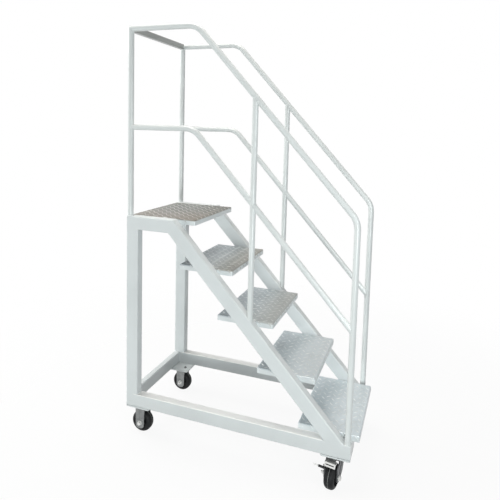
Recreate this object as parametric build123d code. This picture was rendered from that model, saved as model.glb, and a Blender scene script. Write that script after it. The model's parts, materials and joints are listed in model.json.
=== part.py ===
from build123d import *
import os
from math import atan2, cos, degrees, radians, sin

# Mobile access stairs on casters, in millimetres. X runs from the rear of the platform to the foot
# of the flight, Z is up from the floor, and a climber's left hand is on the -Y side.

# Side frames of rectangular tube
platform_height = 1292.0
base_clearance = 175.0
base_length = 1300.0
frame_width = 620.0
platform_rail_length = 296.0
tube_depth = 75.0
tube_width = 50.0
tube_wall = 3.0
tube_corner = 6.0
cross_width = 38.0

# Deck and treads of folded plate
tread_count = 4
tread_depth = 318.0
nosing_overhang = 99.0
flange_depth = 30.0
deck_length = 405.0
plate_thickness = 3.0
fold_radius = 7.0

# Handrails of round tube
rail_diameter = 32.0
rail_wall = 2.5
infill_diameter = 31.0
infill_wall = 2.0
rail_height = 1033.0
rail_level_length = 415.0
rail_foot_bend_height = 79.0
rail_bend_radius = 110.0
mid_rail_height = 498.0
mid_rail_level_length = 404.0
mid_post_distance = 750.0
post_margin = 1.0
toe_gap = 2.0
bar_depth = 34.0
bar_thickness = 26.0
bar_wall = 2.0
bar_corner = 3.0

# Casters
wheel_diameter = 125.0
wheel_width = 54.0
tyre_thickness = 22.0
tyre_shoulder = 19.0
rim_width = 42.0
rim_thickness = 5.0
web_thickness = 12.0
hub_diameter = 38.0
axle_diameter = 12.0
running_clearance = 0.05
hub_end_clearance = 0.5
side_clearance = 4.0
fork_thickness = 6.0
fork_bend = 10.0
rear_foot_width = 54.0
rear_foot_drop = 33.0
front_foot_width = 42.0
front_foot_drop = 21.0
foot_roundness = 0.85
cheek_radius = 40.0
cheek_rise = 36.0
groove_width = 9.0
groove_depth = 1.5
groove_rise = 24.0
washer_diameter = 26.0
washer_thickness = 2.0
hex_width = 19.0
hex_height = 9.0
axle_tail = 9.0
mount_size = 150.0
caster_edge = 65.0
front_caster_edge = 82.0
mount_thickness = 8.0
caster_plate_size = 110.0
caster_plate_thickness = 5.0
plate_corner = 8.0
rear_crown_length = 57.0
race_diameter = 64.0
race_taper = 7.0
race_height = 13.0
race_gap = 0.3
kingpin_diameter = 14.0
kingpin_head = 26.0
kingpin_head_height = 6.0
front_crown_length = 68.0
caster_trail = 45.0
caster_swing = 80.0
pedal_width = 58.0
pedal_shank_width = 40.0
pedal_reach = 76.0
pedal_thickness = 4.0
pedal_lip = 14.0

# Levels and stations worked out from the sizes above
side_y = (frame_width - tube_width) / 2
inner_width = frame_width - 2 * tube_width
base_top = base_clearance + tube_depth
rail_radius = rail_diameter / 2
infill_radius = infill_diameter / 2
post_inset = rail_radius + post_margin
rail_y = frame_width / 2 - post_inset
front_post_x = base_length - post_inset
stringer_toe = front_post_x - rail_radius - toe_gap
slope_run = stringer_toe - platform_rail_length
slope_fall = platform_height - base_top
slope_angle = degrees(atan2(slope_fall, slope_run))
top_rail_z = platform_height + rail_height
mid_rail_z = platform_height + mid_rail_height
foot_bend_z = platform_height + rail_foot_bend_height
rail_pitch = (top_rail_z - foot_bend_z) / (front_post_x - rail_level_length)
mid_rail_end_z = mid_rail_z - (front_post_x - mid_rail_level_length) * rail_pitch
lowest_tread = base_top + flange_depth
tread_rise = (platform_height - lowest_tread) / tread_count


def stringer_x(level):
    return platform_rail_length + (platform_height - level) * slope_run / slope_fall


tread_levels = [platform_height - tread_rise * step for step in range(1, tread_count + 1)]
tread_fronts = [stringer_x(level) + nosing_overhang for level in tread_levels]
overall_length = tread_fronts[-1]
to_centre = Pos(-overall_length / 2, 0, 0)
mount_y = (frame_width - mount_size) / 2
caster_y = frame_width / 2 - caster_edge
mount_bottom = base_clearance - mount_thickness
caster_bottom = mount_bottom - caster_plate_thickness
axle_z = wheel_diameter / 2
leg_gap = wheel_width + 2 * side_clearance
fork_width = leg_gap + 2 * fork_thickness
crown_top = caster_bottom - race_height - race_gap

parts = {}


def keep(name, shape):
    parts[name] = to_centre * shape


def keep_pair(name, left_shape):
    keep(name + "_left", left_shape)
    keep(name + "_right", mirror(left_shape, about=Plane.XZ))


def tube_section(depth, width, wall, corner):
    outer = RectangleRounded(depth, width, corner)
    return outer - RectangleRounded(depth - 2 * wall, width - 2 * wall, corner - wall)


def side_tube(start, end, outer_side):
    # Rectangular tube of a side frame; start and end are (x, z) on its outer face, outer_side turns inward.
    run = Vector(end[0] - start[0], 0, end[1] - start[1])
    inward = Vector(outer_side[0], 0, outer_side[1])
    plane = Plane(
        origin=Vector(start[0], -side_y, start[1]) + inward * (tube_depth / 2),
        x_dir=inward,
        z_dir=run,
    )
    return extrude(plane * tube_section(tube_depth, tube_width, tube_wall, tube_corner), run.length)


def cut_plane(point, along):
    # Plane across a joint, through (x, z) and holding the direction along; the kept side is below or behind.
    normal = Vector(-along[1], 0, along[0])
    return Plane(origin=(point[0], 0, point[1]), x_dir=(0, 1, 0), z_dir=normal)


def half(shape, plane, side):
    return split(shape, bisect_by=plane, keep=side)


def side_frame():
    slope = (cos(radians(slope_angle)), -sin(radians(slope_angle)))
    under_slope = (-sin(radians(slope_angle)), -cos(radians(slope_angle)))
    spare = tube_depth * 2
    rear_foot = cut_plane((0, base_clearance), (1, 1))
    rear_head = cut_plane((0, platform_height), (1, -1))
    bisector = (slope[0] + 1, slope[1])
    knee = cut_plane((platform_rail_length, platform_height), (-bisector[1], bisector[0]))

    base = side_tube((0, base_clearance), (base_length, base_clearance), (0, 1))
    base = half(base, rear_foot, Keep.BOTTOM)
    cap = RectangleRounded(tube_depth, tube_width, tube_corner)
    cap_plane = Plane(
        origin=(base_length, -side_y, base_clearance + tube_depth / 2), x_dir=(0, 0, 1), z_dir=(-1, 0, 0)
    )
    keep_pair("base_rail", base + extrude(cap_plane * cap, tube_wall))

    upright = side_tube((0, base_clearance), (0, platform_height), (1, 0))
    upright = half(upright, rear_foot, Keep.TOP)
    keep_pair("rear_upright", half(upright, rear_head, Keep.BOTTOM))

    level = side_tube((0, platform_height), (platform_rail_length + spare, platform_height), (0, -1))
    level = half(level, rear_head, Keep.TOP)
    keep_pair("platform_rail", half(level, knee, Keep.TOP))

    start = (platform_rail_length - spare * slope[0], platform_height - spare * slope[1])
    end = (stringer_toe + spare * slope[0], base_top + spare * slope[1])
    stringer = half(side_tube(start, end, under_slope), knee, Keep.BOTTOM)
    keep_pair("stringer", half(stringer, Plane.XY.offset(base_top), Keep.TOP))


def cross_tube(x, z, depth, width):
    # Tube across the inside of the two side frames; x is its rear face and z its underside.
    plane = Plane(
        origin=(x + width / 2, -inner_width / 2, z + depth / 2), x_dir=(0, 0, 1), z_dir=(0, 1, 0)
    )
    return extrude(plane * tube_section(depth, width, tube_wall, tube_corner), inner_width)


def cross_members():
    keep("base_cross_rear", cross_tube(0, base_clearance, tube_depth, cross_width))
    keep("base_cross_front", cross_tube(base_length - cross_width, base_clearance, tube_depth, cross_width))
    under_deck = tube_depth - flange_depth
    keep("platform_cross", cross_tube(0, platform_height - tube_depth, under_deck, cross_width))


def folded_plate(rear, length, level):
    # Plate with its four edges folded down between the side frames.
    outer = Pos(rear + length / 2, 0, level - flange_depth / 2) * Box(length, inner_width, flange_depth)
    outer = fillet(outer.edges().filter_by(Axis.Z) + outer.faces().sort_by(Axis.Z)[-1].edges(), fold_radius)
    inner_length = length - 2 * plate_thickness
    inner_across = inner_width - 2 * plate_thickness
    hollow = Pos(rear + length / 2, 0, level - plate_thickness - flange_depth / 2)
    hollow = hollow * Box(inner_length, inner_across, flange_depth)
    bend = fold_radius - plate_thickness
    hollow = fillet(hollow.edges().filter_by(Axis.Z) + hollow.faces().sort_by(Axis.Z)[-1].edges(), bend)
    return outer - hollow


def deck_and_treads():
    keep("platform_deck", folded_plate(0, deck_length, platform_height))
    for step, (level, front) in enumerate(zip(tread_levels, tread_fronts), start=1):
        keep(f"tread_{step}", folded_plate(front - tread_depth, tread_depth, level))


def rail_path(points):
    corners = [(x, -rail_y, z) for x, z in points]
    return FilletPolyline(*corners, radius=rail_bend_radius)


def swept(path, radius):
    start = Plane(origin=path @ 0, z_dir=path % 0)
    return sweep(start * Circle(radius), path=path)


def rod(x, low, high, radius):
    return extrude(Plane((x, -rail_y, low)) * Circle(radius), high - low)


def handrails():
    rear_x = post_inset
    past_corner = rear_x - rail_diameter
    top_path = rail_path(
        [(past_corner, top_rail_z), (rail_level_length, top_rail_z), (front_post_x, foot_bend_z),
         (front_post_x, base_top)]
    )
    mid_path = rail_path(
        [(rear_x, mid_rail_z), (mid_rail_level_length, mid_rail_z), (front_post_x, mid_rail_end_z)]
    )
    mitre = cut_plane((rear_x, top_rail_z), (1, -1))
    corner = Pos(rear_x, -rail_y, top_rail_z) * Box(4 * rail_diameter, 4 * rail_diameter, 4 * rail_diameter)
    top_core = swept(top_path, rail_radius) - half(corner, mitre, Keep.BOTTOM)
    tall_core = rod(rear_x, platform_height, top_rail_z + rail_diameter, rail_radius)
    post_core = half(tall_core, mitre, Keep.BOTTOM)
    mid_core = swept(mid_path, infill_radius)
    bore_radius = rail_radius - rail_wall
    infill_bore = infill_radius - infill_wall
    keep_pair("top_rail", top_core - swept(top_path, bore_radius))
    post_bore = rod(rear_x, platform_height, top_rail_z + rail_diameter, bore_radius)
    keep_pair("handrail_post", post_core - post_bore)
    keep_pair("mid_rail", mid_core - swept(mid_path, infill_bore) - top_core - post_core)

    drop = (mid_post_distance - rail_level_length) * rail_pitch
    mid_drop = (mid_post_distance - mid_rail_level_length) * rail_pitch
    at_top = cut_plane((mid_post_distance, top_rail_z - drop), (1, -rail_pitch))
    at_mid = cut_plane((mid_post_distance, mid_rail_z - mid_drop), (1, -rail_pitch))
    at_stringer = cut_plane((platform_rail_length, platform_height), (slope_run, -slope_fall))
    post = rod(mid_post_distance, base_top, top_rail_z, infill_radius)
    post = post - rod(mid_post_distance, base_top, top_rail_z, infill_bore)
    upper = half(half(post, at_top, Keep.BOTTOM), at_mid, Keep.TOP) - top_core - mid_core
    lower = half(half(post, at_mid, Keep.BOTTOM), at_stringer, Keep.TOP) - mid_core
    keep_pair("mid_post_upper", upper)
    keep_pair("mid_post_lower", lower)

    bar_plane = Plane(origin=(rear_x, -rail_y, top_rail_z), x_dir=(0, 0, 1), z_dir=(0, 1, 0))
    bar = extrude(bar_plane * tube_section(bar_depth, bar_thickness, bar_wall, bar_corner), 2 * rail_y)
    for ends in (post_core, top_core, rod(rear_x, platform_height, top_rail_z + rail_diameter, rail_radius)):
        bar = bar - ends - mirror(ends, about=Plane.XZ)
    keep("top_rear_bar", bar)


def square_plate(size, thickness, top):
    return extrude(Plane((0, 0, top - thickness)) * RectangleRounded(size, size, plate_corner), thickness)


def wheel_core():
    # Half section of the rim, web and hub, turned about the axle.
    bore = axle_diameter / 2 + running_clearance
    hub_half = leg_gap / 2 - hub_end_clearance
    rim_radius = wheel_diameter / 2 - tyre_thickness
    rim_inner = rim_radius - rim_thickness
    outline = Polyline(
        (bore, -hub_half), (hub_diameter / 2, -hub_half), (hub_diameter / 2, -web_thickness / 2),
        (rim_inner, -web_thickness / 2), (rim_inner, -rim_width / 2), (rim_radius, -rim_width / 2),
        (rim_radius, rim_width / 2), (rim_inner, rim_width / 2), (rim_inner, web_thickness / 2),
        (hub_diameter / 2, web_thickness / 2), (hub_diameter / 2, hub_half), (bore, hub_half), close=True
    )
    core = revolve(make_face(outline), Axis.Y)
    return Pos(0, 0, axle_z) * core


def tyre():
    radius = wheel_diameter / 2
    section = Pos(radius - tyre_thickness / 2, 0) * Rectangle(tyre_thickness, wheel_width)
    section = fillet(section.vertices().group_by(Axis.X)[-1], tyre_shoulder)
    return Pos(0, 0, axle_z) * revolve(section, Axis.Y)


def axle():
    # Through bolt with a hexagon head and a nut on washers, and a short threaded tail.
    end_length = washer_thickness + hex_height
    across = Plane(origin=(0, -fork_width / 2 - end_length, axle_z), z_dir=(0, 1, 0))
    shank = extrude(across * Circle(axle_diameter / 2), fork_width + 2 * end_length + axle_tail)
    head = extrude(across * RegularPolygon(hex_width / 2, 6, major_radius=False), hex_height)
    nut = Pos(0, fork_width + end_length + washer_thickness, 0) * head
    washer = extrude(across.offset(hex_height) * Circle(washer_diameter / 2), washer_thickness)
    return shank + head + nut + washer + Pos(0, fork_width + washer_thickness, 0) * washer


def folded_fork(top, crown_length, trail, foot_width, foot_drop, cheek):
    # Plate bent to a U over the wheel, trimmed to crown, cheek and foot, with a pressed groove down each leg.
    height = top - axle_z + foot_drop
    outer = Pos(0, -height / 2) * Rectangle(fork_width, height)
    outer = fillet(outer.vertices().group_by(Axis.Y)[-1], fork_bend)
    inner = Pos(0, -fork_thickness - height / 2) * Rectangle(leg_gap, height)
    inner = fillet(inner.vertices().group_by(Axis.Y)[-1], fork_bend - fork_thickness)
    section = Plane(origin=(0, 0, top), x_dir=(0, 1, 0), z_dir=(1, 0, 0)) * (outer - inner)
    bent = extrude(section, crown_length + trail, both=True)

    crown = Pos(0, top - fork_bend) * Rectangle(crown_length, 2 * fork_bend)
    foot_radius = min(foot_width / 2, foot_drop) * foot_roundness
    foot = Pos(trail, axle_z) * RectangleRounded(foot_width, 2 * foot_drop, foot_radius)
    outline = crown + make_hull(crown.edges().sort_by(Axis.Y)[:1] + foot.edges() + cheek.edges())
    fork = bent & extrude(Plane.XZ * outline, fork_width, both=True)

    lean = Vector(-trail, top - axle_z)
    low = Vector(trail, axle_z) + lean.normalized() * groove_rise
    high = Vector(0, top) - lean.normalized() * (fork_bend + groove_width)
    slot = SlotCenterPoint((low + high) / 2, high, groove_width)
    groove = extrude(Plane.XZ * slot, groove_depth, both=True)
    for side in (-fork_width / 2, fork_width / 2):
        fork = fork - Pos(0, side, 0) * groove
    bore = extrude(Plane.XZ * Circle(axle_diameter / 2 + running_clearance), fork_width, both=True)
    return fork - Pos(trail, 0, axle_z) * bore


def rear_fork():
    plate = square_plate(caster_plate_size, caster_plate_thickness, mount_bottom)
    cheek = Pos(0, axle_z) * Circle(rear_foot_width / 4)
    return folded_fork(caster_bottom, rear_crown_length, 0, rear_foot_width, rear_foot_drop, cheek) + plate


def swivel_head():
    # Fixed plate, ball race and kingpin, with the riveted head that holds the fork.
    race = Pos(0, 0, caster_bottom - race_height / 2)
    race = race * Cone(race_diameter / 2 - race_taper, race_diameter / 2, race_height)
    pin_length = race_height + fork_thickness + 2 * race_gap + kingpin_head_height
    pin = Pos(0, 0, caster_bottom - pin_length / 2) * Cylinder(kingpin_diameter / 2, pin_length)
    head = Pos(0, 0, caster_bottom - pin_length + kingpin_head_height / 2)
    head = head * Cylinder(kingpin_head / 2, kingpin_head_height)
    return square_plate(caster_plate_size, caster_plate_thickness, mount_bottom) + race + pin + head


def swivel_fork():
    # The fork trails along +X of its own frame, before it is swung about the kingpin.
    bore = Pos(0, 0, crown_top) * Cylinder(kingpin_diameter / 2 + running_clearance, 4 * fork_thickness)
    cheek = Pos(caster_trail / 2, axle_z + cheek_rise) * Circle(cheek_radius)
    fork = folded_fork(crown_top, front_crown_length, caster_trail, front_foot_width, front_foot_drop, cheek)
    return fork - bore


def brake_pedal():
    # Shank from the crown's trailing edge out over the wheel, with a wider tread plate and its lip.
    level = crown_top - pedal_thickness / 2
    root = (front_crown_length / 2, level)
    toe = (pedal_reach, level)
    lip = (pedal_reach + pedal_lip, level - pedal_lip)
    heel = ((root[0] + toe[0]) / 2, level)
    shank = extrude(Plane.XZ * trace(Line(root, heel), pedal_thickness), pedal_shank_width / 2, both=True)
    tread = extrude(Plane.XZ * trace(Polyline(heel, toe, lip), pedal_thickness), pedal_width / 2, both=True)
    return shank + tread


def casters():
    rear = Pos(mount_size / 2, -caster_y, 0)
    front = Pos(base_length - front_caster_edge, -caster_y, 0)
    swung = front * Rot(0, 0, 180 + caster_swing)
    wheel_place = swung * Pos(caster_trail, 0, 0)
    mount = square_plate(mount_size, mount_thickness, base_clearance)
    keep_pair("caster_mount_rear", Pos(mount_size / 2, -mount_y, 0) * mount)
    keep_pair("caster_mount_front", Pos(base_length - mount_size / 2, -mount_y, 0) * mount)
    keep_pair("rear_fork", rear * rear_fork())
    keep_pair("swivel_head", front * swivel_head())
    keep_pair("swivel_fork", swung * swivel_fork())
    keep_pair("brake_pedal", swung * brake_pedal())
    keep_pair("axle_rear", rear * axle())
    keep_pair("axle_front", wheel_place * Rot(0, 0, 180) * axle())
    for end, place in (("rear", rear), ("front", wheel_place)):
        keep_pair(f"wheel_core_{end}", place * wheel_core())
        keep_pair(f"tyre_{end}", place * tyre())


side_frame()
cross_members()
deck_and_treads()
handrails()
casters()

os.makedirs("parts", exist_ok=True)
for name, shape in parts.items():
    export_step(shape, f"parts/{name}.step")
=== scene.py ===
import bpy
import bmesh
import json
import math
from mathutils import Matrix, Vector


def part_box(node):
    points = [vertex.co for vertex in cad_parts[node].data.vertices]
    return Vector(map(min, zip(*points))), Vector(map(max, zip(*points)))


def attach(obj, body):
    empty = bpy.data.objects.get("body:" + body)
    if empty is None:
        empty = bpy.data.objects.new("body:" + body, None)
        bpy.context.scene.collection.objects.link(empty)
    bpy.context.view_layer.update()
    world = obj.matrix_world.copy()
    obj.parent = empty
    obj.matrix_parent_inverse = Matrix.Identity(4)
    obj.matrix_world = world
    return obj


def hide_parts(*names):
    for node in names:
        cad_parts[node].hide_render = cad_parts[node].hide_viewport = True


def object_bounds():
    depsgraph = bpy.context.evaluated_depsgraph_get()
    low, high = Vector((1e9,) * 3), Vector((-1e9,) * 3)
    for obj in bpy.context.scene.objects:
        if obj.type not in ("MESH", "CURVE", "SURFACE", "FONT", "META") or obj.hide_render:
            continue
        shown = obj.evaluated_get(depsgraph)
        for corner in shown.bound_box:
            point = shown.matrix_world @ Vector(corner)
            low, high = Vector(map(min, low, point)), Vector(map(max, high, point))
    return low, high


# Mobile access stairs on casters, in metres: +X down the flight, +Z up, climber's left at -Y.
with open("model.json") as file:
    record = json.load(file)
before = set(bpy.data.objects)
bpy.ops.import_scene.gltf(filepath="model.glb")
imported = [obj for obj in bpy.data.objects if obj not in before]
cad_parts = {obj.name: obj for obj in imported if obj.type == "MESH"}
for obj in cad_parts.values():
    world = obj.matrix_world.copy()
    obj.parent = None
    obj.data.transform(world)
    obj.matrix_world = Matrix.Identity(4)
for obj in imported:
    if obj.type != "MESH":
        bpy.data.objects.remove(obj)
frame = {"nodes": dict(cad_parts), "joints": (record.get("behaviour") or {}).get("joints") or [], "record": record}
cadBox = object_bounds()
nodes = frame["nodes"]
joints = {joint["name"]: joint for joint in frame["joints"]}
sides = {"left": -1, "right": 1}
treadNames = [name for name in sorted(nodes) if name.startswith("tread_")]
print("frame loaded:", len(nodes), "CAD nodes")


class Wire:  # one shader socket; expressions on it add Math nodes
    def __init__(self, finish, socket):
        self.finish = finish
        self.socket = socket

    def math(self, operation, *values):
        return self.finish.node("ShaderNodeMath", {"operation": operation}, dict(enumerate(values)))

    def __add__(self, other):
        return self.math("ADD", self, other)

    def __sub__(self, other):
        return self.math("SUBTRACT", self, other)

    def __rsub__(self, other):
        return self.math("SUBTRACT", other, self)

    def __mul__(self, other):
        return self.math("MULTIPLY", self, other)

    __radd__ = __add__
    __rmul__ = __mul__

    def span(self, low, high):  # 0 at low, 1 at high, smooth between
        sockets = {"Value": self, "From Min": low, "From Max": high}
        return self.finish.node("ShaderNodeMapRange", {"interpolation_type": "SMOOTHSTEP"}, sockets)


class Finish:  # one material, or the world, and the nodes of its recipe
    def __init__(self, owner):
        self.owner = owner
        owner.use_nodes = True
        owner.node_tree.nodes.clear()

    def node(self, kind, settings=None, sockets=None, output=0):
        made = self.owner.node_tree.nodes.new(kind)
        for name, value in (settings or {}).items():
            setattr(made, name, value)
        for name, value in (sockets or {}).items():
            if isinstance(value, Wire):
                self.owner.node_tree.links.new(value.socket, made.inputs[name])
            else:
                made.inputs[name].default_value = value
        return Wire(self, made.outputs[output]) if made.outputs else None

    def place(self):
        return self.node("ShaderNodeTexCoord", output="Object")

    def axis(self, vector, letter):
        return self.node("ShaderNodeSeparateXYZ", {}, {"Vector": vector}, letter)

    def stretch(self, vector, scale):
        return self.node("ShaderNodeMapping", {}, {"Vector": vector, "Scale": scale})

    def noise(self, vector, scale, detail=2.0):
        return self.node("ShaderNodeTexNoise", {}, {"Vector": vector, "Scale": scale, "Detail": detail}, "Fac")

    def cells(self, vector, scale):
        return self.node("ShaderNodeTexVoronoi", {}, {"Vector": vector, "Scale": scale}, "Color")

    def mix(self, factor, first, second):  # colours go through Mix
        return self.node("ShaderNodeMix", {"data_type": "RGBA"}, {0: factor, 6: first, 7: second}, 2)

    def bump(self, height, strength, distance):
        sockets = {"Strength": strength, "Distance": distance, "Height": height}
        return self.node("ShaderNodeBump", {}, sockets, "Normal")

    def principled(self, sockets):
        shader = self.node("ShaderNodeBsdfPrincipled", {}, sockets)
        self.node("ShaderNodeOutputMaterial", {}, {"Surface": shader})
        return self.owner


def rgb(red, green, blue, share=1.0):
    return (red * share, green * share, blue * share, 1.0)


def newFinish(name):
    return Finish(bpy.data.materials.new(name))


# enamel on frame and rails: slow clouds in the coat, scuffs and specks low down
coatWear = {"cloudScale": 5.0, "cloudSpan": (0.3, 0.72), "cloudShade": 0.94, "cloudRough": 0.1,
            "scuffStretch": (3.0, 3.0, 14.0), "scuffScale": 22.0, "scuffSpan": (0.62, 0.74), "scuffRough": 0.2,
            "lowFrom": 0.1, "dustEven": 0.2, "dustScuffed": 0.5, "dustColour": (0.42, 0.4, 0.37),
            "speckScale": 95.0, "speckSpan": (0.74, 0.8), "speckShare": 0.55, "speckColour": (0.16, 0.16, 0.155),
            "peelDepth": 0.0005, "coatRough": 0.14}
frameLook = {"colour": (0.735, 0.77, 0.778), "roughness": 0.36, "coat": 0.35, "peelScale": 700.0,
             "peel": 0.06, "dustHeight": 0.34, "dust": 0.55, "topHighlight": 0.9}
railLook = {"colour": (0.755, 0.785, 0.782), "roughness": 0.32, "coat": 0.5, "peelScale": 800.0,
            "peel": 0.02, "dustHeight": 0.3, "dust": 0.3, "topHighlight": 0.0}
# painted shade: the rear top bar's paint darkened for the shade it hangs in
shadedBarLook = {**railLook, "colour": (0.36, 0.37, 0.36)}
# painted highlight: lighter paint on the base rails' tops and near top edge, from the rear upright to the stringer
topHighlight = {"level": 0.25, "rim": (0.004, 0.002), "over": 0.001, "fade": 0.01, "colour": (0.97, 0.96, 0.94),
         "along": (cadBox[0].x + 0.045, cadBox[0].x + 1.16)}


# mask of the painted highlight on the base rails' tops
def topHighlightMask(finish, place):
    along, height = finish.axis(place, "X"), finish.axis(place, "Z")
    level, fade, (start, end) = topHighlight["level"], topHighlight["fade"], topHighlight["along"]
    rim = height.span(level - topHighlight["rim"][0], level - topHighlight["rim"][1])
    top = rim * (1 - height.span(level, level + topHighlight["over"]))
    return top * along.span(start, start + fade) * (1 - along.span(end - fade, end))


def enamel(name, look):
    # sprayed satin enamel: orange peel, slow clouds in the coat, dust and scuffs low down
    finish = newFinish(name)
    place = finish.place()
    cloud = finish.noise(place, coatWear["cloudScale"], 3.0)
    peel = finish.noise(place, look["peelScale"], 1.0)
    drawn = finish.stretch(place, coatWear["scuffStretch"])
    scuff = finish.noise(drawn, coatWear["scuffScale"], 4.0).span(*coatWear["scuffSpan"])
    low = 1 - finish.axis(place, "Z").span(coatWear["lowFrom"], look["dustHeight"])
    speck = finish.noise(place, coatWear["speckScale"]).span(*coatWear["speckSpan"])
    shaded = rgb(*look["colour"], coatWear["cloudShade"])
    coat = finish.mix(cloud.span(*coatWear["cloudSpan"]), rgb(*look["colour"]), shaded)
    dust = low * (coatWear["dustEven"] + scuff * coatWear["dustScuffed"]) * look["dust"]
    dusty = finish.mix(dust, coat, rgb(*coatWear["dustColour"]))
    marked = finish.mix(speck * low * coatWear["speckShare"], dusty, rgb(*coatWear["speckColour"]))
    return finish.principled({
        # painted highlight over the base rails' tops
        "Base Color": finish.mix(topHighlightMask(finish, place) * look["topHighlight"], marked, rgb(*topHighlight["colour"])),
        "Roughness": look["roughness"] + cloud * coatWear["cloudRough"] + scuff * low * coatWear["scuffRough"],
        "Normal": finish.bump(peel, look["peel"], coatWear["peelDepth"]),
        "Coat Weight": look["coat"],
        "Coat Roughness": coatWear["coatRough"],
    })


# checker plate and the lugs on it
plateLook = {"colour": (0.44, 0.49, 0.52), "bare": (0.5, 0.55, 0.58), "warmReflection": (0.27, 0.268, 0.24),
             "cleanAndLitEdge": (0.74, 0.78, 0.79), "low": (0.72, 0.79, 0.82), "grime": (0.3, 0.285, 0.26),
             "deckReflectionLeft": (0.165, 0.143, 0.118), "deckReflectionRight": (0.12, 0.125, 0.115), "deckReflectionAcross": (-0.25, 0.1),
             "lug": (0.68, 0.72, 0.73), "lugBright": (0.9, 0.92, 0.92), "lugWarmReflection": (0.48, 0.475, 0.45),
             "lugDeckReflection": (0.29, 0.265, 0.235), "deckLevel": 1.292, "deckBand": (0.004, 0.001), "rise": 0.253,
             "slack": 0.003, "edgeBand": (0.02, 0.05), "run": 0.93, "reflectionFrom": (0.7, 0.92), "lowTo": (0.2, 1.0),
             "lowShare": 0.85, "stainShare": 0.12, "deckReflectionShare": 0.9, "lugReflectionShare": 0.8, "lugDeckReflectionShare": 0.75,
             "walkedScale": 7.0, "stainScale": 16.0, "stainSpan": (0.5, 0.75), "rubbedScale": 40.0,
             "rubbedSpan": (0.3, 0.7), "grainStretch": (60.0, 600.0, 200.0), "grainDepth": 0.0004}


def plateWear(finish, place):
    # masks: the deck's top, the folded edges, towards the front edge of each plate where the painted reflection
    # tint goes, low down
    height = finish.axis(place, "Z")
    steps = (plateLook["deckLevel"] + plateLook["slack"] - height) * (1 / plateLook["rise"])
    drop = steps.math("FRACT", steps)
    deck = height.span(*(plateLook["deckLevel"] - depth for depth in plateLook["deckBand"]))
    ahead = (finish.axis(place, "X") + height * plateLook["run"]).span(*plateLook["reflectionFrom"])
    return deck, drop.span(*plateLook["edgeBand"]), ahead, 1 - height.span(*plateLook["lowTo"])


def checkerPlate():
    # silver-painted plate: painted reflection as a warm tint towards each front edge and a tan tint on the deck,
    # lighter and bluer on the lower treads, tops darker than the folded edges (walked dirt and painted shade)
    finish = newFinish("checkerPlate")
    place = finish.place()
    walked = finish.noise(place, plateLook["walkedScale"], 3.0)
    grain = finish.noise(finish.stretch(place, plateLook["grainStretch"]), 1.0, 3.0)
    stain = finish.noise(place, plateLook["stainScale"], 5.0).span(*plateLook["stainSpan"])
    deck, edge, ahead, low = plateWear(finish, place)
    # painted reflection on the deck: tan to the left, greyer to the right
    across = finish.axis(place, "Y").span(*plateLook["deckReflectionAcross"])
    deckReflection = finish.mix(across, rgb(*plateLook["deckReflectionLeft"]), rgb(*plateLook["deckReflectionRight"]))
    coat = finish.mix(walked, rgb(*plateLook["colour"]), rgb(*plateLook["bare"]))
    # painted reflection: warm tint towards each plate's front edge, faded out on the lower treads
    warmReflection = finish.mix(ahead * (1 - low), coat, rgb(*plateLook["warmReflection"]))
    lower = finish.mix(low * plateLook["lowShare"], warmReflection, rgb(*plateLook["low"]))
    dirty = finish.mix(stain * plateLook["stainShare"], lower, rgb(*plateLook["grime"]))
    # painted reflection: the deck's tan tint over the plate
    topped = finish.mix(deck * plateLook["deckReflectionShare"], dirty, deckReflection)
    return finish.principled({
        # tops darker than the folded edges: partly walked dirt on the tops, partly painted shade
        "Base Color": finish.mix(edge, topped, rgb(*plateLook["cleanAndLitEdge"])),
        "Metallic": 0.3 - deck * 0.2 - edge * 0.2,
        "Roughness": 0.32 + stain * 0.1 + grain * 0.08 + deck * 0.2,
        "Normal": finish.bump(grain, 0.08, plateLook["grainDepth"]),
    })


def lugTops():
    # the raised lugs, rubbed brighter than the plate round them
    finish = newFinish("lugTops")
    place = finish.place()
    rubbed = finish.noise(place, plateLook["rubbedScale"], 3.0)
    deck, edge, ahead, low = plateWear(finish, place)
    bright = rubbed.span(*plateLook["rubbedSpan"])
    metal = finish.mix(bright, rgb(*plateLook["lug"]), rgb(*plateLook["lugBright"]))
    # painted reflection: warm tint on the lugs towards each front edge
    warmReflection = finish.mix(ahead * (1 - low) * plateLook["lugReflectionShare"], metal, rgb(*plateLook["lugWarmReflection"]))
    return finish.principled({
        # painted reflection: tan tint on the deck's lugs
        "Base Color": finish.mix(deck * plateLook["lugDeckReflectionShare"], warmReflection, rgb(*plateLook["lugDeckReflection"])),
        "Metallic": 0.35 - edge * 0.15,
        "Roughness": 0.24 + rubbed * 0.16,
    })


# zinc of the casters, bright on pedals and axles, darkened on the swivel forks as painted shade
zincLook = {"colour": (0.3, 0.31, 0.31), "dull": (0.19, 0.195, 0.195), "roughness": 0.36}
brightLook = {"colour": (0.78, 0.78, 0.76), "dull": (0.55, 0.56, 0.56), "roughness": 0.24}
shadedForkLook = {"colour": (0.14, 0.145, 0.15), "dull": (0.08, 0.082, 0.084), "roughness": 0.4}
zincWear = {"spangleScale": 160.0, "spangleDepth": 0.0004, "hazeScale": 30.0, "hazeSpan": (0.35, 0.7)}


def zincPlate(name, look):
    # zinc with faint spangle, duller in patches where it is handled
    finish = newFinish(name)
    place = finish.place()
    spangle = finish.axis(finish.cells(place, zincWear["spangleScale"]), "X")
    haze = finish.noise(place, zincWear["hazeScale"], 4.0).span(*zincWear["hazeSpan"])
    metal = finish.mix(haze * 0.6 + spangle * 0.2, rgb(*look["colour"]), rgb(*look["dull"]))
    return finish.principled({
        "Base Color": metal,
        "Metallic": 0.85,
        "Roughness": look["roughness"] + haze * 0.14 + spangle * 0.06,
        "Normal": finish.bump(spangle, 0.03, zincWear["spangleDepth"]),
    })


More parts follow.
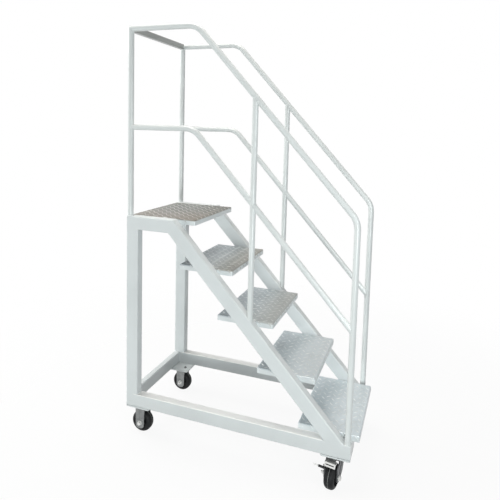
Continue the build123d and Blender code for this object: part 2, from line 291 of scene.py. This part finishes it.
# rubber and plastic
rubberLook = {"colour": (0.008, 0.0085, 0.0095), "dust": (0.038, 0.038, 0.038), "gloss": 0.2,
              "grain": 900.0, "roughness": 0.52}
coreLook = {"colour": (0.018, 0.0185, 0.0195), "dust": (0.06, 0.06, 0.06), "gloss": 0.35,
            "grain": 600.0, "roughness": 0.4}
leverLook = {"colour": (0.012, 0.012, 0.013), "dust": (0.06, 0.06, 0.06), "gloss": 0.35,
             "grain": 500.0, "roughness": 0.4}
# lighter grey rubber of the line round the tyre's tread
partingLineLook = {"colour": (0.2, 0.2, 0.195), "dust": (0.34, 0.34, 0.33), "gloss": 0.35,
               "grain": 700.0, "roughness": 0.6}
mouldWear = {"grainDepth": 0.0006, "dustScale": 38.0, "dustSpan": (0.46, 0.72), "dustShare": 0.45}


def moulded(name, look):
    # fine mould grain, dust in patches
    finish = newFinish(name)
    place = finish.place()
    grain = finish.noise(place, look["grain"])
    dust = finish.noise(place, mouldWear["dustScale"], 4.0).span(*mouldWear["dustSpan"])
    return finish.principled({
        "Base Color": finish.mix(dust * mouldWear["dustShare"], rgb(*look["colour"]), rgb(*look["dust"])),
        "Roughness": look["roughness"] + dust * 0.15,
        "Specular IOR Level": look["gloss"],
        "Normal": finish.bump(grain, 0.12, mouldWear["grainDepth"]),
    })


finishes = {
    "frame_paint": enamel("frameEnamel", frameLook),
    "rail_paint": enamel("railEnamel", railLook),
    "checker_plate": checkerPlate(),
    "zinc_plate": zincPlate("zincPlate", zincLook),
    "tyre_rubber": moulded("tyreRubber", rubberLook),
    "wheel_plastic": moulded("wheelPlastic", coreLook),
}
lugFinish = lugTops()
brightFinish = zincPlate("brightZinc", brightLook)
shadedForkFinish = zincPlate("zincPaintedShade", shadedForkLook)
shadedBarFinish = enamel("barEnamelPaintedShade", shadedBarLook)
leverFinish = moulded("leverGrip", leverLook)
partingLineFinish = moulded("partingLineRubber", partingLineLook)


def ownFinish(node):
    # bright pedals and axle bolts; swivel forks and rear bar darkened as painted shade, within their slots
    own = {"brake_pedal": brightFinish, "axle": brightFinish, "swivel_fork": shadedForkFinish, "top_rear": shadedBarFinish}
    return next((finish for start, finish in own.items() if node.startswith(start)), None)


for subpart in frame["record"]["subparts"]:
    mesh = nodes[subpart["node"]].data
    mesh.materials.clear()
    mesh.materials.append(ownFinish(subpart["node"]) or finishes[subpart["material_slot"]])
print("finishes made and put on the CAD nodes")


def keepPiece(name, bm, body, materials, replaced=(), smoothAngle=40.0):
    mesh = bpy.data.meshes.new(name)
    bm.to_mesh(mesh)
    bm.free()
    for material in materials:
        mesh.materials.append(material)
    mesh.shade_smooth()
    mesh.set_sharp_from_angle(angle=math.radians(smoothAngle))
    piece = bpy.data.objects.new(name, mesh)
    bpy.context.scene.collection.objects.link(piece)
    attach(piece, body)
    if replaced:
        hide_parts(*replaced)


def storedMesh(name, bm):
    mesh = bpy.data.meshes.new(name)
    bm.to_mesh(mesh)
    bm.free()
    return mesh


def addCopy(bm, mesh, matrix):
    start = len(bm.verts)
    bm.from_mesh(mesh)
    bm.verts.ensure_lookup_table()
    fresh = bm.verts[start:]
    bmesh.ops.transform(bm, matrix=matrix, verts=fresh)
    return fresh


def extrudeUp(bm, face, rise, shrink):
    # lifts a cap face and draws it in, and gives the new cap back
    grown = bmesh.ops.extrude_discrete_faces(bm, faces=[face])["faces"][0]
    middle = grown.calc_center_median()
    bmesh.ops.translate(bm, verts=grown.verts, vec=(0, 0, rise))
    scale = Matrix.Translation(middle) @ Matrix.Diagonal((*shrink, 1.0, 1.0)) @ Matrix.Translation(-middle)
    bmesh.ops.transform(bm, matrix=scale, verts=grown.verts)
    return grown


# raised lugs of the checker plate, wrapped over the folded edges
lug = {"length": 0.030, "width": 0.0062, "height": 0.0017, "sunk": 0.0003, "columnPitch": 0.028,
       "rowPitch": 0.048, "turn": 45.0, "foldRadius": 0.007, "edgeGap": 0.003, "corners": 10, "taper": 1.2,
       "tip": 0.25, "shoulderAt": 0.7, "shoulderDraw": (0.86, 0.7), "topDraw": (0.8, 0.45)}


def lugMesh():
    bm = bmesh.new()
    made = bmesh.ops.create_circle(bm, cap_ends=True, segments=lug["corners"], radius=0.5)["verts"]
    cap = made[0].link_faces[0]
    for corner in bm.verts:
        atTip = abs(corner.co.x) > 0.49
        corner.co.y *= lug["tip"] if atTip else 1 - lug["taper"] * corner.co.x ** 2
    bmesh.ops.transform(bm, matrix=Matrix.Diagonal((lug["length"], lug["width"], 1, 1)), verts=bm.verts)
    bmesh.ops.translate(bm, verts=bm.verts, vec=(0, 0, -lug["sunk"]))
    if cap.normal.z < 0:
        cap.normal_flip()
    shoulder = extrudeUp(bm, cap, lug["sunk"] + lug["height"] * lug["shoulderAt"], lug["shoulderDraw"])
    extrudeUp(bm, shoulder, lug["height"] * (1 - lug["shoulderAt"]), lug["topDraw"])
    return storedMesh("lug", bm)


def foldOver(reach, flat, rise):
    # distance across the unfolded plate to (distance out, drop) on the folded one
    radius = lug["foldRadius"]
    past = abs(reach) - flat
    if past <= 0:
        return reach, -rise
    turned = min(past / radius, math.pi / 2)
    out = flat + (radius + rise) * math.sin(turned)
    drop = radius - (radius + rise) * math.cos(turned) + max(0.0, past - radius * math.pi / 2)
    return math.copysign(out, reach), drop


def plateLugs(plateName, stamp):
    low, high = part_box(plateName)
    middle = (low + high) / 2
    flat = Vector(((high.x - low.x) / 2 - lug["foldRadius"], (high.y - low.y) / 2 - lug["foldRadius"]))
    skirt = (high.z - low.z) + lug["foldRadius"] * (math.pi / 2 - 1) - lug["edgeGap"]
    bm = bmesh.new()
    columns = math.ceil((flat.x + skirt) / lug["columnPitch"])
    rows = math.ceil((flat.y + skirt) / lug["rowPitch"])
    for column in range(-columns, columns + 1):
        odd = column % 2
        turn = Matrix.Rotation(math.radians(lug["turn"] * (1 - 2 * odd)), 4, "Z")
        for row in range(-rows, rows + 1):
            spot = Vector((column * lug["columnPitch"], (row + odd / 2) * lug["rowPitch"], 0))
            reach = 0.5 * lug["length"] * math.sin(math.radians(lug["turn"]))
            over = [abs(spot[i]) + reach - flat[i] for i in range(2)]
            if max(over) > skirt or min(over) > 0:
                continue
            for corner in addCopy(bm, stamp, Matrix.Translation(spot) @ turn):
                rise = corner.co.z
                alongX, dropX = foldOver(corner.co.x, flat.x, rise if over[1] <= 0 else 0.0)
                alongY, dropY = foldOver(corner.co.y, flat.y, rise if over[1] > 0 else 0.0)
                corner.co = (middle.x + alongX, middle.y + alongY, high.z - dropX - dropY)
    keepPiece(plateName + "_lugs", bm, "frame", [lugFinish], smoothAngle=50.0)


stamp = lugMesh()
for plateName in ["platform_deck", *treadNames]:
    plateLugs(plateName, stamp)
print("checker lugs on", 1 + len(treadNames), "plates")

# tyres: turned section with round shoulders and the mould's parting line round the middle of the tread
tyre = {"shoulder": 0.019, "bevels": 7, "crownRise": 0.0006, "crownFlat": 0.15, "seatGap": 0.002,
        "lineWidth": 0.0034, "lineRise": 0.0003, "lineSunk": 0.001, "lineFlat": 0.5, "steps": 64}


def wheelPlace(jointName):
    joint = joints[jointName]
    heading = math.atan2(-joint["axis"][0], joint["axis"][1])
    return Matrix.Translation(joint["pos_m"]) @ Matrix.Rotation(heading, 4, "Z")


def turnedRing(bm, section, steps):
    # section is a closed loop of (radius, side) pairs, turned about Y
    corners = [bm.verts.new((0, across, radius)) for radius, across in section]
    edges = [bm.edges.new(pair) for pair in zip(corners, corners[1:])]
    edges.append(bm.edges.new((corners[-1], corners[0])))
    bmesh.ops.spin(bm, geom=corners + edges, cent=(0, 0, 0), axis=(0, 1, 0), angle=math.tau, steps=steps,
                   use_merge=True)
    bmesh.ops.remove_doubles(bm, verts=bm.verts, dist=1e-6)
    bmesh.ops.recalc_face_normals(bm, faces=bm.faces)


def tyrePiece(end, side):
    node = f"tyre_{end}_{side}"
    low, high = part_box(node)
    coreLow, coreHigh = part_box(f"wheel_core_{end}_{side}")
    radius = (high.z - low.z) / 2
    seat = (coreHigh.z - coreLow.z) / 2
    rearLow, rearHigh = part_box(f"tyre_rear_{side}")
    half = (rearHigh.y - rearLow.y) / 2
    bm = bmesh.new()
    flat, crown = half * tyre["crownFlat"], radius - tyre["crownRise"]
    turnedRing(bm, [(seat, -half), (crown, -half), (radius, -flat), (radius, flat), (crown, half), (seat, half)],
               tyre["steps"])
    outer = {v for v in bm.verts if abs(abs(v.co.y) - half) < 1e-6 and v.co.xz.length > seat + tyre["seatGap"]}
    shoulders = [edge for edge in bm.edges if outer.issuperset(edge.verts)]
    bmesh.ops.bevel(bm, geom=shoulders, offset=tyre["shoulder"], affect="EDGES", segments=tyre["bevels"],
                    profile=0.5, material=-1)
    place = wheelPlace(f"wheel_{end}_{side}_spin")
    bmesh.ops.transform(bm, matrix=place, verts=bm.verts)
    body = f"wheel_{end}_{side}"
    keepPiece(f"dressed_{node}", bm, body, [finishes["tyre_rubber"]], [node])

    # a lighter grey ring round the middle of the tread
    line = bmesh.new()
    top, sunk, across = radius + tyre["lineRise"], radius - tyre["lineSunk"], tyre["lineWidth"] / 2
    flat = across * tyre["lineFlat"]
    turnedRing(line, [(sunk, -across), (top, -flat), (top, flat), (sunk, across)], tyre["steps"])
    bmesh.ops.transform(line, matrix=place, verts=line.verts)
    keepPiece(f"parting_line_{end}_{side}", line, body, [partingLineFinish])


for end in ("rear", "front"):
    for side in sides:
        tyrePiece(end, side)
print("tyres")

# weld beads: rings where round tube meets tube or flat, short runs in the corners of the frame
weld = {"ring": 0.0021, "run": 0.0032, "steps": 20, "sides": 6}
plan = {"rear": cadBox[0].x, "baseTop": 0.25, "platform": 1.292, "postIn": 0.017, "frontPost": 1.283,
        "knee": 0.296, "toe": 1.265, "stringerWide": 0.1024, "inside": 0.26, "outside": 0.31, "railY": 0.293,
        "topRail": 2.325, "midRail": 1.79, "levelTop": 0.415, "levelMid": 0.404, "midPost": 0.75,
        "railFoot": 1.371, "overhang": 0.099, "railRadius": 0.016, "infillRadius": 0.0155}
# runs of weld on the inner faces: distances from the rear, or from where a tread crosses the stringer's edge
inner = {"sunk": 0.0015, "treadTop": ((-0.092, -0.058), (-0.04, -0.008)), "treadDrop": 0.0022,
         "treadUnder": (-0.055, 0.015), "deck": ((0.05, 0.09), (0.2, 0.24)), "topDrop": 0.003,
         "crossAt": (0.0395, 1.2605), "crossRise": (0.181, 0.245), "crossTop": ((0.006, 0.034), (1.266, 1.294)),
         "mount": ((0.045, 0.145), (1.155, 1.255)), "mountLevel": 0.1765, "platformAt": 0.0395,
         "platformRise": (1.222, 1.257), "heel": (0.266, 0.304), "seam": (0.084, 0.006, 0.0062),
         "seamSunk": 0.003}
slope = (plan["platform"] - plan["baseTop"]) / (plan["toe"] - plan["knee"])
railSlope = (plan["topRail"] - plan["railFoot"]) / (plan["frontPost"] - plan["levelTop"])


def ringBead(bm, point, branch, flatNormal, branchRadius, mainRadius=0.0):
    # ring round the end of a tube that runs along branch; a main radius of 0 is a flat
    along = Vector(branch).normalized()
    normal = Vector(flatNormal).normalized()
    ahead = Vector((along.z, 0, -along.x))
    corners = [k * math.tau / weld["sides"] for k in range(weld["sides"])]
    section = [(branchRadius + weld["ring"] * math.cos(a), weld["ring"] * math.sin(a)) for a in corners]
    ring = bmesh.new()
    turnedRing(ring, section, weld["steps"])
    for corner in ring.verts:
        x, y, z = corner.co
        reach = math.hypot(x, z)
        across = branchRadius * z / reach
        rise = math.sqrt(max(mainRadius ** 2 - across ** 2, 0.0)) - branchRadius * x / reach * normal.dot(ahead)
        corner.co = Vector(point) + ahead * x + Vector((0, z, 0)) + along * (y + rise / normal.dot(along))
    bmesh.ops.recalc_face_normals(ring, faces=ring.faces)
    made = storedMesh("ring", ring)
    bm.from_mesh(made)


def runBead(bm, start, end, size):
    # one drawn-out blob of weld between two points
    start, end = Vector(start), Vector(end)
    turn = (end - start).to_track_quat("Z", "Y").to_matrix().to_4x4()
    stretch = Matrix.Diagonal((size, size, (end - start).length / 2, 1))
    bmesh.ops.create_uvsphere(bm, u_segments=8, v_segments=6, radius=1.0,
                              matrix=Matrix.Translation((start + end) / 2) @ turn @ stretch)


def railBeads(side, hand):
    bm = bmesh.new()
    y = hand * plan["railY"]
    rear, middle, front = (plan["rear"] + plan[key] for key in ("postIn", "midPost", "frontPost"))
    rail, infill = plan["railRadius"], plan["infillRadius"]
    midAtPost = plan["midRail"] - (plan["midPost"] - plan["levelMid"]) * railSlope
    topAtPost = plan["topRail"] - (plan["midPost"] - plan["levelTop"]) * railSlope
    midAtFront = plan["midRail"] - (plan["frontPost"] - plan["levelMid"]) * railSlope
    foot = plan["platform"] - (plan["midPost"] - plan["knee"]) * slope
    across = (railSlope, 0, 1)
    ringBead(bm, (rear, y, plan["platform"]), (0, 0, 1), (0, 0, 1), rail)
    ringBead(bm, (front, y, plan["baseTop"]), (0, 0, 1), (0, 0, 1), rail)
    ringBead(bm, (middle, y, foot), (0, 0, 1), (slope, 0, 1), infill)
    ringBead(bm, (middle, y, midAtPost), (0, 0, 1), across, infill, infill)
    ringBead(bm, (middle, y, midAtPost), (0, 0, -1), (-railSlope, 0, -1), infill, infill)
    ringBead(bm, (middle, y, topAtPost), (0, 0, -1), (-railSlope, 0, -1), infill, rail)
    ringBead(bm, (rear, y, plan["midRail"]), (1, 0, 0), (1, 0, 0), infill, rail)
    ringBead(bm, (front, y, midAtFront), (-1, 0, railSlope), (-1, 0, 0), infill, rail)
    keepPiece(f"rail_welds_{side}", bm, "frame", [finishes["rail_paint"]])


def frameBeads(side, hand):
    bm = bmesh.new()
    rear, run = plan["rear"], weld["run"]
    y = hand * (plan["inside"] - inner["sunk"])

    def level(start, end, z):
        runBead(bm, (start, y, z), (end, y, z), run)

    def upright(x, low, high):
        runBead(bm, (x, y, low), (x, y, high), run)

    for name in treadNames:
        low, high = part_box(name)
        cross = high.x - plan["overhang"]
        for start, end in inner["treadTop"]:
            level(cross + start, cross + end, high.z - inner["treadDrop"])
        level(cross + inner["treadUnder"][0], cross + inner["treadUnder"][1], low.z)
    for start, end in inner["deck"]:
        level(rear + start, rear + end, plan["platform"] - inner["topDrop"])
    for x in inner["crossAt"]:
        upright(rear + x, *inner["crossRise"])
    for start, end in inner["crossTop"]:
        level(rear + start, rear + end, plan["baseTop"] - inner["topDrop"])
    for start, end in inner["mount"]:
        level(rear + start, rear + end, inner["mountLevel"])
    upright(rear + inner["platformAt"], *inner["platformRise"])
    heel = rear + plan["toe"] - plan["stringerWide"]
    near, far = inner["heel"]
    runBead(bm, (heel, hand * near, plan["baseTop"]), (heel, hand * far, plan["baseTop"]), run)

    # the side seams of stringer and base rail are filled and ground flush
    middle = heel + plan["stringerWide"] / 2
    for edge, inward in ((plan["outside"], -1), (plan["inside"], 1)):
        across = hand * (edge + inward * inner["seamSunk"])
        seam = Matrix.Translation((middle, across, plan["baseTop"] - inner["seamSunk"]))
        bmesh.ops.create_cube(bm, size=1.0, matrix=seam @ Matrix.Diagonal((*inner["seam"], 1)))
    keepPiece(f"frame_welds_{side}", bm, "frame", [finishes["frame_paint"]])


for side, hand in sides.items():
    railBeads(side, hand)
    frameBeads(side, hand)
print("weld beads")

# caster bolts: hexagon heads under each caster plate, a nut on top where the frame leaves it in sight
bolt = {"spread": 0.04, "across": 0.013, "head": 0.0055, "washer": 0.0085, "washerThick": 0.0016,
        "thread": 0.004, "stub": 0.0045, "under": 0.162, "over": 0.175, "edge": 0.0005, "side": 0.245,
        "ends": (("rear", 0.075, 1), ("front", 1.218, -1))}


def boltEnd(bm, place, stub):
    # washer, hexagon and thread end stacked along the place's +Z
    levels = [(24, bolt["washer"], 0.0, bolt["washerThick"]),
              (6, bolt["across"] / math.sqrt(3), bolt["washerThick"], bolt["head"])]
    if stub:
        levels.append((12, bolt["thread"], bolt["washerThick"] + bolt["head"], bolt["stub"]))
    for segments, radius, base, height in levels:
        at = place @ Matrix.Translation((0, 0, base + height / 2))
        made = bmesh.ops.create_cone(bm, cap_ends=True, segments=segments, radius1=radius, radius2=radius,
                                     depth=height, matrix=at)["verts"]
        top = [edge for edge in {e for v in made for e in v.link_edges}
               if all((place.inverted() @ v.co).z > base + height * 0.9 for v in edge.verts)]
        bmesh.ops.bevel(bm, geom=top, offset=bolt["edge"], affect="EDGES", segments=1, profile=0.5, material=-1)


for end, along, inward in bolt["ends"]:
    for side, hand in sides.items():
        bm = bmesh.new()
        middle = Vector((plan["rear"] + along, hand * bolt["side"], 0))
        down = Matrix.Rotation(math.pi, 4, "X")
        for dx in (-1, 1):
            for dy in (-1, 1):
                spot = middle + Vector((dx * bolt["spread"], dy * bolt["spread"], bolt["under"]))
                boltEnd(bm, Matrix.Translation(spot) @ down, False)
        spot = middle + Vector((inward * bolt["spread"], -hand * bolt["spread"], bolt["over"]))
        boltEnd(bm, Matrix.Translation(spot), True)
        keepPiece(f"caster_bolts_{end}_{side}", bm, "frame", [finishes["zinc_plate"]],
                  smoothAngle=30.0)
print("caster bolts")

# ribs moulded on both faces of each wheel's web
rib = {"count": 6, "thick": 0.004, "inner": 0.0185, "outer": 0.0418, "rise": 0.0135}


def ribPiece(end, side):
    bm = bmesh.new()
    length = rib["outer"] - rib["inner"]
    for k in range(rib["count"]):
        turn = Matrix.Rotation(k * math.tau / rib["count"], 4, "Y")
        spot = Matrix.Translation((0, 0, rib["inner"] + length / 2))
        size = Matrix.Diagonal((rib["thick"], 2 * rib["rise"], length, 1))
        bmesh.ops.create_cube(bm, size=1.0, matrix=turn @ spot @ size)
    bmesh.ops.transform(bm, matrix=wheelPlace(f"wheel_{end}_{side}_spin"), verts=bm.verts)
    body = f"wheel_{end}_{side}"
    keepPiece(f"wheel_ribs_{end}_{side}", bm, body, [finishes["wheel_plastic"]])


for end in ("rear", "front"):
    for side in sides:
        ribPiece(end, side)
print("wheel ribs")

# brake: lever beside the pedal with its strap, and a thin black strip as painted shade in the slot of the pedal's
# lip, in the swivel's own frame
brake = {"leverAt": (0.084, 0.118), "gripRadius": 0.006, "grip": (0.031, 0.059), "tipRadius": 0.0026,
         "tip": 0.086, "tipSunk": 0.001, "sides": 16, "rimShare": 0.35,
         "slotAt": (0.08445, 0.14115), "slotLong": 0.044, "slotWide": 0.0045, "slotThick": 0.0008, "lean": 45.0,
         "strapAt": (0.0865, 0.0285, 0.1265), "strap": (0.008, 0.005, 0.023)}


def brakePieces(side, hand):
    joint = joints[f"swivel_front_{side}_turn"]
    wheel = joints[f"wheel_front_{side}_spin"]
    trail = Vector(wheel["pos_m"]) - Vector(joint["pos_m"])
    heading = Matrix.Rotation(math.atan2(trail.y, trail.x), 4, "Z")
    place = Matrix.Translation((*joint["pos_m"][:2], 0)) @ heading
    out, level = brake["leverAt"]
    tipStart = brake["grip"][1] - brake["tipSunk"]
    for name, radius, start, end, slotName, finish in (
            ("grip", brake["gripRadius"], *brake["grip"], "wheel_plastic", leverFinish),
            ("tip", brake["tipRadius"], tipStart, brake["tip"], "zinc_plate", brightFinish)):
        bm = bmesh.new()
        at = Matrix.Translation((out, hand * (start + end) / 2, level)) @ Matrix.Rotation(math.pi / 2, 4, "X")
        bmesh.ops.create_cone(bm, cap_ends=True, segments=brake["sides"], radius1=radius, radius2=radius,
                              depth=end - start, matrix=at)
        rims = [edge for edge in bm.edges if any(len(face.verts) > 4 for face in edge.link_faces)]
        bmesh.ops.bevel(bm, geom=rims, offset=radius * brake["rimShare"], affect="EDGES", segments=2, profile=0.5,
                        material=-1)
        bmesh.ops.transform(bm, matrix=place, verts=bm.verts)
        keepPiece(f"brake_{name}_{side}", bm, f"swivel_front_{side}", [finish])
    # painted shade: a thin black strip for the shaded slot in the pedal's lip
    bm = bmesh.new()
    out, level = brake["slotAt"]
    at = Matrix.Translation((out, 0, level)) @ Matrix.Rotation(math.radians(brake["lean"]), 4, "Y")
    size = Matrix.Diagonal((brake["slotWide"], brake["slotLong"], brake["slotThick"], 1))
    bmesh.ops.create_cube(bm, size=1.0, matrix=place @ at @ size)
    keepPiece(f"brake_slot_shade_{side}", bm, f"swivel_front_{side}", [leverFinish])
    bm = bmesh.new()
    out, across, level = brake["strapAt"]
    at = Matrix.Translation((out, hand * across, level)) @ Matrix.Diagonal((*brake["strap"], 1))
    bmesh.ops.create_cube(bm, size=1.0, matrix=place @ at)
    keepPiece(f"brake_strap_{side}", bm, f"swivel_front_{side}", [leverFinish])


for side, hand in sides.items():
    brakePieces(side, hand)
print("brake levers")

# floor and light
studio = {"floorSize": 8.0, "fadeStart": 1.1, "fadeEnd": 3.2, "floorGlow": 0.8, "glowStrength": 1.15,
          "floorColour": 0.3, "ambient": 0.04, "ambientColour": (0.93, 0.97, 1.0)}
lamps = {
    "keyLeft": {"place": (-4.6, -4.2, 0.5), "size": 2.4, "power": 130.0, "colour": (0.98, 0.98, 0.95),
                "mirrored": False},
    "keyRight": {"place": (2.0, -4.7, 0.4), "size": 1.6, "power": 98.0, "colour": (0.93, 1.0, 1.0)},
    "nearFront": {"place": (2.4, -2.0, 2.0), "size": 1.2, "power": 30.0, "colour": (0.97, 1.0, 1.0)},
    "topMiddle": {"place": (-0.6, 0.0, 5.6), "size": 3.0, "power": 155.0, "colour": (1.0, 0.96, 0.91)},
    "topRear": {"place": (-4.0, 0.5, 4.0), "size": 3.0, "power": 150.0, "colour": (0.99, 1.0, 0.98)},
    "sideRear": {"place": (-4.5, -1.6, 1.5), "size": 3.0, "power": 40.0, "colour": (0.88, 0.98, 1.0),
                 "mirrored": False},
    "fillBack": {"place": (-1.0, 5.2, 1.2), "size": 3.0, "power": 75.0, "colour": (0.96, 0.99, 1.0),
                 "mirrored": False},
}


def seenRays(finish):
    # 1 for camera, mirror and glass rays
    seen, mirrored, through = (finish.node("ShaderNodeLightPath", output=f"Is {kind} Ray")
                               for kind in ("Camera", "Glossy", "Transmission"))
    clamped = {"operation": "ADD", "use_clamp": True}
    return finish.node("ShaderNodeMath", clamped, {0: seen + mirrored, 1: through})


def makeFloor():
    bm = bmesh.new()
    bmesh.ops.create_grid(bm, x_segments=1, y_segments=1, size=studio["floorSize"])
    floor = bpy.data.objects.new("floor", storedMesh("floor", bm))
    bpy.context.scene.collection.objects.link(floor)
    finish = newFinish("paleFloor")
    distance = finish.node("ShaderNodeVectorMath", {"operation": "LENGTH"}, {0: finish.place()}, "Value")
    card = finish.node("ShaderNodeBsdfDiffuse", {}, {"Color": rgb(1, 1, 1, studio["floorColour"])})
    glow = finish.node("ShaderNodeEmission", {}, {"Color": rgb(1, 1, 1), "Strength": studio["glowStrength"]})
    lit = finish.node("ShaderNodeMixShader", {}, {0: seenRays(finish) * studio["floorGlow"], 1: card, 2: glow})
    clear = finish.node("ShaderNodeBsdfTransparent")
    fade = distance.span(studio["fadeStart"], studio["fadeEnd"])
    finish.node("ShaderNodeOutputMaterial", {}, {
        "Surface": finish.node("ShaderNodeMixShader", {}, {0: fade, 1: lit, 2: clear})})
    floor.data.materials.append(finish.owner)


def makeWorld():
    world = bpy.data.worlds.new("studioWorld")
    bpy.context.scene.world = world
    finish = Finish(world)
    ambient = {"Color": rgb(*studio["ambientColour"]), "Strength": studio["ambient"]}
    dim = finish.node("ShaderNodeBackground", {}, ambient)
    white = finish.node("ShaderNodeBackground", {}, {"Color": rgb(1, 1, 1), "Strength": 1.0})
    finish.node("ShaderNodeOutputWorld", {}, {
        "Surface": finish.node("ShaderNodeMixShader", {}, {0: seenRays(finish), 1: dim, 2: white})})


def makeLamp(name, lamp):
    data = bpy.data.lights.new(name, "AREA")
    data.shape = "DISK"
    data.size = lamp["size"]
    data.energy = lamp["power"]
    data.color = lamp["colour"]
    made = bpy.data.objects.new(name, data)
    middle = (cadBox[0] + cadBox[1]) / 2
    made.location = lamp["place"]
    made.visible_glossy = lamp.get("mirrored", True)
    made.rotation_euler = (middle - made.location).to_track_quat("-Z", "Y").to_euler()
    bpy.context.scene.collection.objects.link(made)


makeFloor()
makeWorld()
for name, lamp in lamps.items():
    makeLamp(name, lamp)
print("floor and light")

# camera at the photograph's place; focal length and middle in pixels of its 500 by 500 frame
shot = {"place": (0.89847, -2.56376, 1.78803), "right": (0.940533, 0.338668, 0.026509),
        "up": (-0.055237, 0.075473, 0.995617), "focal": 475.928, "middle": (254.768, 173.556), "picture": 500.0,
        "sensor": 36.0}
cameraData = bpy.data.cameras.new("photoCamera")
cameraData.sensor_width = shot["sensor"]
cameraData.lens = shot["focal"] * shot["sensor"] / shot["picture"]
cameraData.shift_x = 0.5 - shot["middle"][0] / shot["picture"]
cameraData.shift_y = shot["middle"][1] / shot["picture"] - 0.5
turn = Matrix((shot["right"], shot["up"], Vector(shot["right"]).cross(Vector(shot["up"])))).transposed()
camera = bpy.data.objects.new("photoCamera", cameraData)
camera.matrix_world = Matrix.Translation(shot["place"]) @ turn.to_4x4()
bpy.context.scene.collection.objects.link(camera)
bpy.context.scene.camera = camera
bpy.context.scene.view_settings.view_transform = "Standard"
print("camera")
